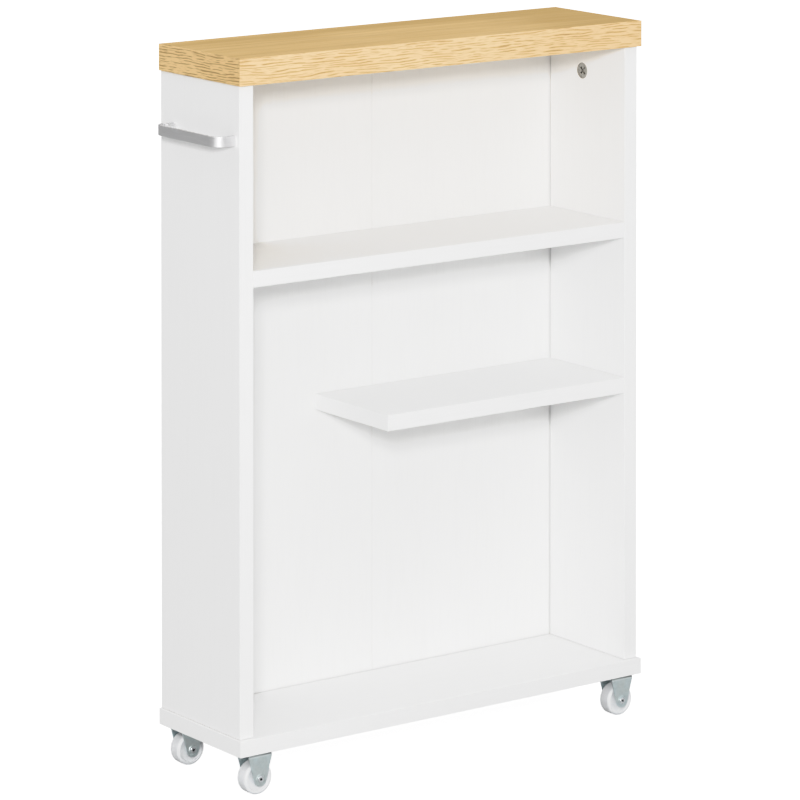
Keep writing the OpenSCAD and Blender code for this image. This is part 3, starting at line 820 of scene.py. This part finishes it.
def mix_paints():
    """Every finish, by name."""
    PAINTS["white_upright"] = melamine("white_upright", 0.4, 0.02, (420, 420, 12))
    PAINTS["white_flat"] = melamine("white_flat", 0.4, 0.02, (12, 420, 420))
    PAINTS["white_band_upright"] = melamine("white_band_upright", 0.34, 0.01, (420, 420, 16))
    PAINTS["white_band_flat"] = melamine("white_band_flat", 0.34, 0.01, (16, 420, 420))
    PAINTS["white_lacquer"] = white_lacquer()
    PAINTS["bare_fibre"] = bare_fibre()
    PAINTS["chipboard"] = chipboard()
    mix_oak()
    PAINTS["paper"] = paper_tape()
    mix_metals()
    PAINTS["beech"] = beech()
    PAINTS["nylon"] = nylon()


# The CAD nodes that keep their meshes, by finish
KEPT = {
    "paper": ["back_seam_tape"],
    "cast_zinc": ["top_cam_locks", "upper_shelf_cam_locks", "lower_shelf_cam_locks"],
    "steel": ["top_cam_bolts", "upper_shelf_cam_bolts", "lower_shelf_cam_bolts", "base_screws",
              "back_screws", "handle_screws", "caster_screws"],
    "beech": ["top_dowels", "base_dowels"],
    "zinc": [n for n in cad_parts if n.startswith("caster_bracket_")],
    "rivet": [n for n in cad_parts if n.startswith("caster_axle_")],
}


def soften_edges(piece):
    """Rounds a CAD part's sharp edges a little, by modifiers."""
    weld = piece.modifiers.new("weld", "WELD")
    weld.merge_threshold = WELD_REACH
    edge = piece.modifiers.new("edge", "BEVEL")
    edge.width = FITTING_EDGE
    edge.segments = 2
    edge.limit_method = "ANGLE"
    edge.angle_limit = FITTING_FOLD
    edge.harden_normals = True


def paint_kept_parts():
    """Gives the CAD parts that stay their finishes and softened edges."""
    for paint, nodes in KEPT.items():
        for node in nodes:
            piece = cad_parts[node]
            piece.data.materials.clear()
            piece.data.materials.append(PAINTS[paint])
            soften_edges(piece)


# ---- Stage ----

# The camera's tone curve: true up to SHOULDER, then gentler, up to full white at FULL_WHITE. The
# background is BLANK, which is beyond full white
SHOULDER = 0.75
SHOULDER_SLOPE = 0.4
FULL_WHITE = SHOULDER + (1 - SHOULDER) / SHOULDER_SLOPE
BLANK = 1.3 * FULL_WHITE

# The light from all round, level and from overhead, and the floor
HORIZON = 0.24
ZENITH = 1.06
FLOOR_TONE = 0.6
FLOOR_GLOW = 1.2
FLOOR_SIZE = 30

# Each soft light: turn about the cart from its front, height above the cart's middle, both in
# degrees, distance, width, height and power. One of them shines on metal and gloss only.
LIGHTS = {
    "key": (-37.5, 17.5, 4.1, 0.5, 0.5, 95),
    "front": (28, 5, 3.2, 2.4, 1.6, 9.5),
    "gleam": (-46, 14, 3.6, 2.6, 1.2, 26),
}
LIGHTS_AIM = Vector((0, 0, 0.35))
GLOSS_ONLY = "gleam"

# The camera: its place from the top's front left corner, its height, its turns in degrees, its
# lens and sensor in millimetres, how far the lens slides down, in frame widths, and how far it sees
CAMERA_FROM_CORNER = (-2.1646, -3.1956)
CAMERA_HEIGHT = 1.197
CAMERA_DIP = 1.15
CAMERA_TURN = -36.26
CAMERA_LENS = 192.48
CAMERA_SENSOR = 36
CAMERA_SLIDE = -1.0419
CAMERA_CLIP_END = 100


def set_tone():
    """Holds back the highlights as a studio camera does, with their hue kept."""
    view = bpy.context.scene.view_settings
    view.view_transform = "Standard"
    view.use_curve_mapping = True
    mapping = view.curve_mapping
    mapping.tone = "FILMLIKE"
    mapping.white_level = (FULL_WHITE,) * 3
    points = mapping.curves[3].points
    points.new(SHOULDER / FULL_WHITE, SHOULDER)
    for point in points:
        point.handle_type = "VECTOR"
    mapping.update()


def build_floor():
    """A pale floor. The camera sees it overexposed, so that only the deepest shade shows on it, and
    sees through it from below."""
    bm = bmesh.new()
    bmesh.ops.create_grid(bm, x_segments=1, y_segments=1, size=FLOOR_SIZE)
    p = Paint("studio_floor")
    seen = p.add("LightPath", output="Is Camera Ray")
    glow = p.math("MULTIPLY", seen, FLOOR_GLOW)
    below = p.add("NewGeometry", output="Backfacing")
    solid = p.math("SUBTRACT", 1.0, p.math("MULTIPLY", seen, below))
    p.done(Base_Color=(FLOOR_TONE, FLOOR_TONE, FLOOR_TONE, 1), Roughness=0.9, Specular_IOR_Level=0.0,
           Emission_Color=(1, 1, 1, 1), Emission_Strength=glow, Alpha=solid)
    floor = add_piece("floor", bm, [p.material])


def build_world():
    """Even pale air: white to the camera, and for light a gradient from the horizon to overhead."""
    world = bpy.data.worlds.new("studio")
    bpy.context.scene.world = world
    world.use_nodes = True
    p = Graph(world.node_tree)
    seen = p.add("LightPath", output="Is Camera Ray")
    height = p.add("SeparateXYZ", {0: p.add("NewGeometry", output="Incoming")}, output="Z")
    span = {"Value": height, "From Min": -0.2, "From Max": -0.9, "To Min": HORIZON, "To Max": ZENITH}
    rise = p.add("MapRange", span, interpolation_type="SMOOTHSTEP")
    strength = p.add("Mix", {0: seen, 2: rise, 3: BLANK}, data_type="FLOAT")
    sky = p.add("Background", {"Color": (1, 1, 1, 1), "Strength": strength})
    p.tree.links.new(sky, p.tree.nodes.new("ShaderNodeOutputWorld").inputs[0])


def build_lights():
    """The soft lights, each turned to the cart's middle."""
    for name, (turn, rise, reach, width, height, power) in LIGHTS.items():
        a, e = math.radians(turn), math.radians(rise)
        away = Vector((math.sin(a) * math.cos(e), -math.cos(a) * math.cos(e), math.sin(e)))
        lamp = bpy.data.lights.new(name, "AREA")
        lamp.shape = "RECTANGLE"
        lamp.size, lamp.size_y = width, height
        lamp.energy = power
        holder = bpy.data.objects.new(name, lamp)
        holder.location = LIGHTS_AIM + away * reach
        holder.rotation_euler = away.to_track_quat("Z", "Y").to_euler()
        holder.visible_diffuse = name != GLOSS_ONLY
        bpy.context.scene.collection.objects.link(holder)


def build_camera():
    """The camera, low and nearly level, with its lens slid down. The slide follows the camera's
    rotation mode, so a camera that is turned to another view keeps its subject in the middle."""
    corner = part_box("top_slab")[0]
    cam = bpy.data.objects.new("camera", bpy.data.cameras.new("camera"))
    bpy.context.scene.collection.objects.link(cam)
    cam.data.sensor_width = CAMERA_SENSOR
    cam.data.lens = CAMERA_LENS
    cam.data.clip_end = CAMERA_CLIP_END
    away_x, away_y = CAMERA_FROM_CORNER
    cam.location = (corner.x + away_x, corner.y + away_y, CAMERA_HEIGHT)
    cam.rotation_euler = (math.radians(90 - CAMERA_DIP), 0, math.radians(CAMERA_TURN))
    slide = cam.data.driver_add("shift_y").driver
    slide.type = "SCRIPTED"
    mode = slide.variables.new()
    mode.name = "mode"
    mode.targets[0].id = cam
    mode.targets[0].data_path = "rotation_mode"
    slide.expression = f"{CAMERA_SLIDE} * mode"
    bpy.context.scene.camera = cam


set_tone()
mix_paints()
build_boards()
build_back()
build_wheels()
build_handle()
paint_kept_parts()
build_floor()
build_world()
build_lights()
build_camera()

bpy.context.view_layer.update()
